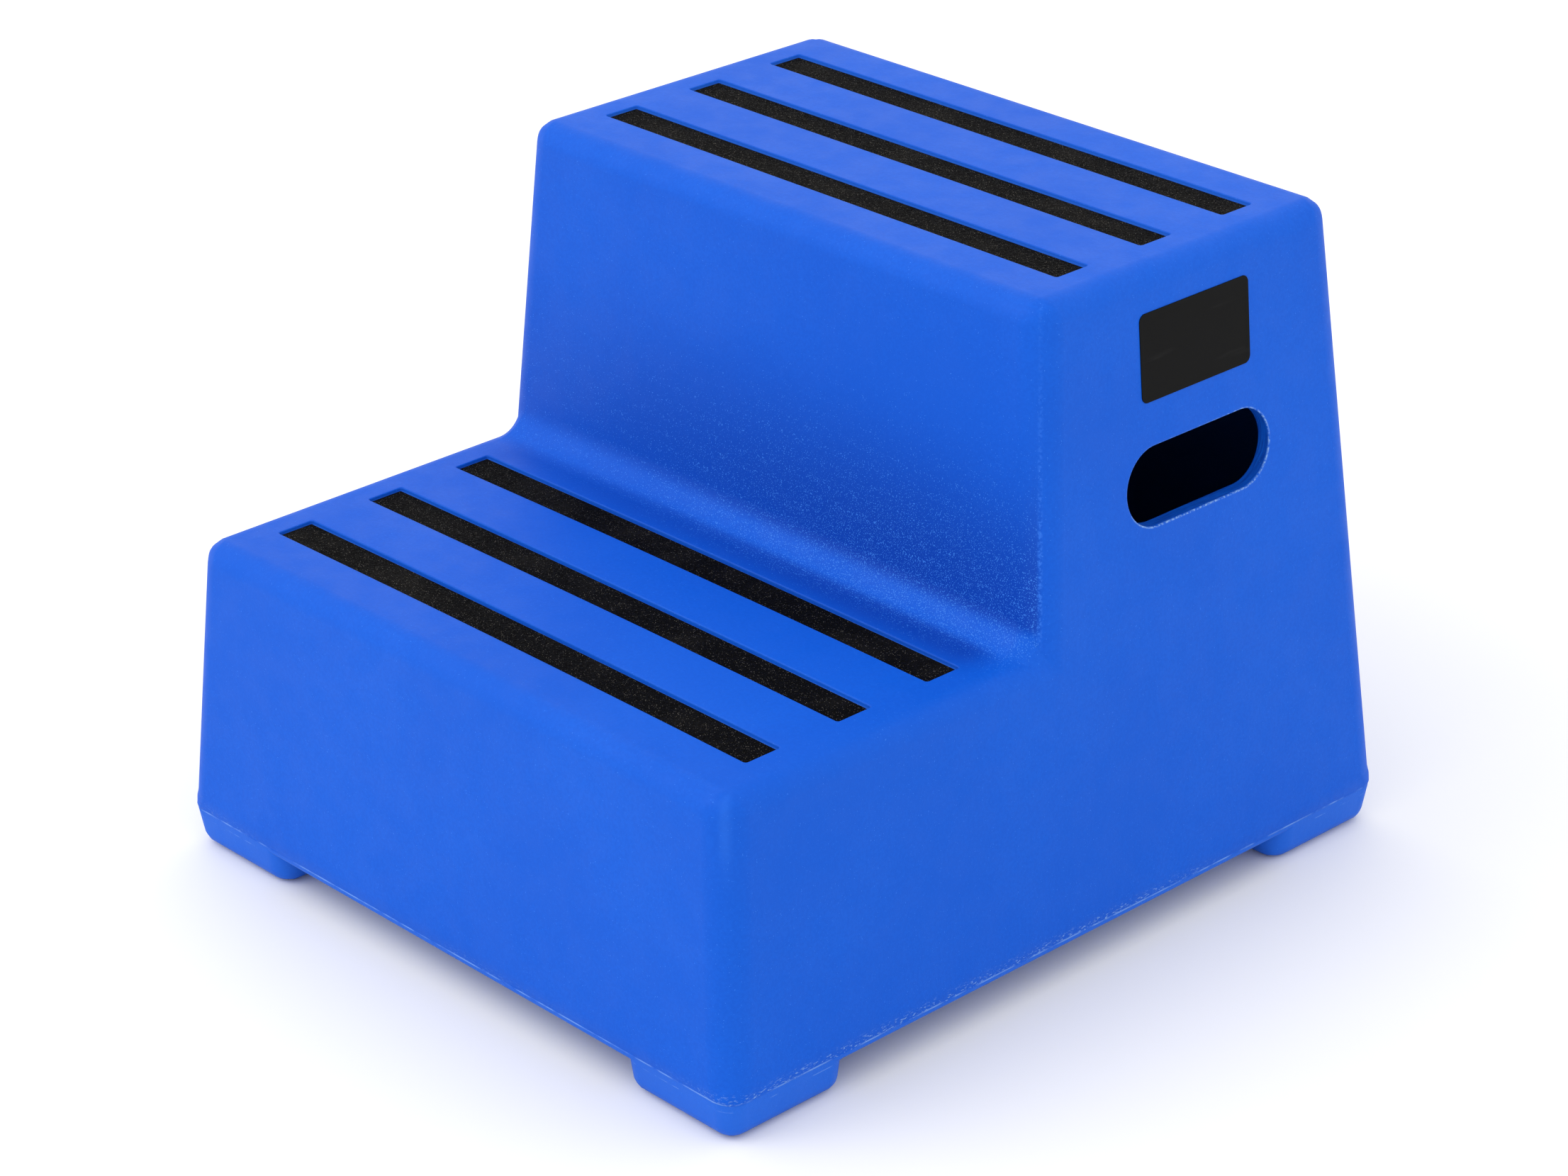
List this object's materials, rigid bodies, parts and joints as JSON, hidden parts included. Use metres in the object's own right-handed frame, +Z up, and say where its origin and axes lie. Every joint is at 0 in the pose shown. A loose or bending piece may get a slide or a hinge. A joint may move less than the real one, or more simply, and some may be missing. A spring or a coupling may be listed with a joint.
{
  "type": "mounting block",
  "caption": "Two-tread plastic mounting block: hollow drafted body on moulded corner feet, recessed anti-slip strips on both treads and a carrying slot in each side.",
  "frame": {"origin": "on the floor, under the middle of the block's outline", "axes": "+Z up; +Y the way the rider climbs, from the lower tread to the top tread; +X to the right of a rider who faces the steps"},
  "size_m": [0.542, 0.596, 0.448],
  "materials": {
    "body_plastic": "blue rotationally moulded polyethylene, fine matte grain",
    "grit_tape": "black grit-coated anti-slip tape",
    "label_film": "plain black self-adhesive film, no print",
    "pad_rubber": "black moulded rubber"
  },
  "bodies": {
    "root": {"body_shell": "body_plastic", "low_strip_front": "grit_tape", "low_strip_middle": "grit_tape", "low_strip_back": "grit_tape", "top_strip_front": "grit_tape", "top_strip_middle": "grit_tape", "top_strip_back": "grit_tape", "side_label": "label_film", "foot_pad_front_left": "pad_rubber", "foot_pad_front_right": "pad_rubber", "foot_pad_rear_left": "pad_rubber", "foot_pad_rear_right": "pad_rubber"}
  },
  "joints": []
}
